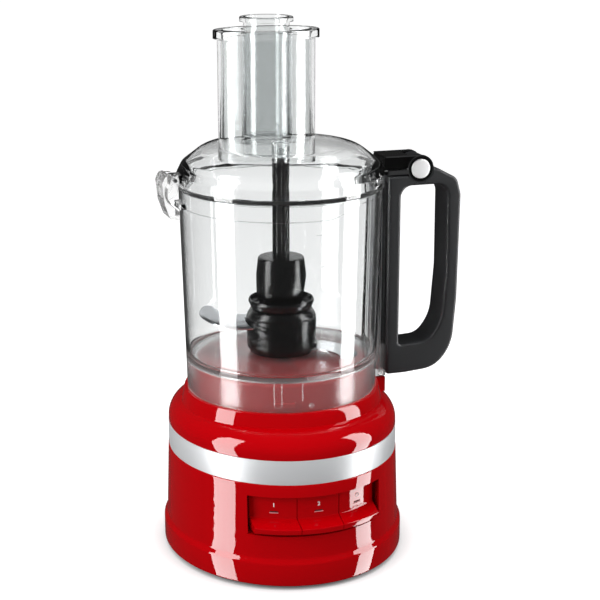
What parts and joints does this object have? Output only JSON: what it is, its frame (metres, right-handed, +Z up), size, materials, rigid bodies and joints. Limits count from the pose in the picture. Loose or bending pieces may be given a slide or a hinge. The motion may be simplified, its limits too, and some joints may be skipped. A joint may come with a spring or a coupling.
{
  "type": "food processor",
  "caption": "Upright food processor: motor base with keys, clear lift-off bowl with a closed handle, hinged lid with feed tube, nested pushers and a sickle blade.",
  "frame": {"origin": "on the spindle axis, in the plane that the foot ring stands on", "axes": "+Z up along the spindle, -Y towards the front with the keys, +X towards the handle"},
  "size_m": [0.254, 0.222, 0.438],
  "materials": {
    "red_enamel_plastic": "high gloss with a clear top coat",
    "satin_band": "satin",
    "clear_plastic": "clear, polished",
    "black_satin_plastic": "fine satin texture",
    "black_gloss_plastic": "polished",
    "dark_plastic": "moulded",
    "white_plastic": "moulded",
    "black_rubber": "matt",
    "seal_rubber": "smooth",
    "stainless": "brushed",
    "blade_steel": "ground and polished",
    "chrome_trim": "polished",
    "satin_cap": "bead blasted",
    "steel_core": "laminated",
    "copper_winding": "enamelled wire",
    "carbon": "pressed",
    "board_green": "solder mask",
    "spring_steel": "drawn wire"
  },
  "bodies": {
    "base": {"base_housing": "red_enamel_plastic", "trim_band": "satin_band", "top_cover": "red_enamel_plastic", "bowl_collar": "red_enamel_plastic", "base_plate": "dark_plastic", "foot_ring": "black_rubber", "base_screws": "stainless", "cord_inlet": "dark_plastic", "chassis": "dark_plastic", "spindle_housing": "dark_plastic", "spindle_bearings": "stainless", "motor_stator": "steel_core", "field_coils": "copper_winding", "motor_brushes": "carbon", "brush_frame": "dark_plastic", "motor_bearings": "stainless", "motor_posts": "stainless", "drive_belt": "black_rubber", "circuit_board": "board_green", "key_switches": "dark_plastic", "key_springs": "spring_steel", "interlock_switch": "dark_plastic"},
    "spindle": {"drive_spindle": "stainless", "drive_hex": "dark_plastic", "spindle_pulley": "dark_plastic"},
    "rotor": {"motor_shaft": "stainless", "motor_armature": "steel_core", "commutator": "copper_winding", "cooling_fan": "dark_plastic", "motor_pulley": "dark_plastic"},
    "low_key": {"key_low": "red_enamel_plastic"},
    "high_key": {"key_high": "red_enamel_plastic"},
    "pulse_key": {"key_pulse": "red_enamel_plastic"},
    "bowl_unit": {"bowl": "clear_plastic", "handle": "black_satin_plastic", "hinge_pin": "stainless", "hinge_caps": "satin_cap"},
    "rod": {"interlock_rod": "white_plastic"},
    "lid_unit": {"lid": "clear_plastic", "lid_gasket": "seal_rubber", "hinge_arm": "black_gloss_plastic", "hinge_trim": "chrome_trim", "arm_screws": "stainless"},
    "latch_clip": {"latch": "clear_plastic", "latch_pin": "stainless"},
    "food_pusher": {"large_pusher": "clear_plastic"},
    "inner_pusher": {"small_pusher": "clear_plastic"},
    "blade_unit": {"drive_stem": "black_gloss_plastic", "blade_hub": "black_gloss_plastic", "hub_dish": "black_gloss_plastic", "blade_upper": "blade_steel", "blade_lower": "blade_steel"}
  },
  "joints": [
    {"name": "spindle_spin", "type": "hinge", "parent": "base", "child": "spindle", "pos_m": [0, 0, 0.1], "axis": [0, 0, 1], "continuous": true},
    {"name": "rotor_spin", "type": "hinge", "parent": "base", "child": "rotor", "pos_m": [0, 0.056, 0.06], "axis": [0, 0, 1], "continuous": true},
    {"name": "low_press", "type": "slide", "parent": "base", "child": "low_key", "axis": [0, 1, 0], "range_m": [0, 0.002], "stiffness_N_per_m": 400, "springref_m": -0.002},
    {"name": "high_press", "type": "slide", "parent": "base", "child": "high_key", "axis": [0, 1, 0], "range_m": [0, 0.002], "stiffness_N_per_m": 400, "springref_m": -0.002},
    {"name": "pulse_press", "type": "slide", "parent": "base", "child": "pulse_key", "axis": [0, 1, 0], "range_m": [0, 0.002], "stiffness_N_per_m": 400, "springref_m": -0.002},
    {"name": "bowl_lift", "type": "slide", "parent": "base", "child": "bowl_unit", "axis": [0, 0, 1], "range_m": [0, 0.16]},
    {"name": "rod_slide", "type": "slide", "parent": "bowl_unit", "child": "rod", "axis": [0, 0, 1], "range_m": [0, 0.003]},
    {"name": "lid_hinge", "type": "hinge", "parent": "bowl_unit", "child": "lid_unit", "pos_m": [0.1162, 0, 0.3154], "axis": [0, 1, 0], "range_deg": [0, 95]},
    {"name": "latch_swing", "type": "hinge", "parent": "lid_unit", "child": "latch_clip", "pos_m": [-0.09, 0, 0.317], "axis": [0, 1, 0], "range_deg": [0, 40]},
    {"name": "food_pusher_slide", "type": "slide", "parent": "lid_unit", "child": "food_pusher", "axis": [0, 0, 1], "range_m": [0, 0.09]},
    {"name": "inner_pusher_slide", "type": "slide", "parent": "food_pusher", "child": "inner_pusher", "axis": [0, 0, 1], "range_m": [0, 0.09]},
    {"name": "blade_spin", "type": "hinge", "parent": "bowl_unit", "child": "blade_unit", "pos_m": [0, 0, 0.2], "axis": [0, 0, 1], "continuous": true}
  ],
  "couplings": [
    {"joint": "rotor_spin", "follows": "spindle_spin", "ratio": 4},
    {"joint": "blade_spin", "follows": "spindle_spin", "ratio": 1},
    {"joint": "rod_slide", "follows": "lid_hinge", "m_per_rad": 0.0018}
  ]
}
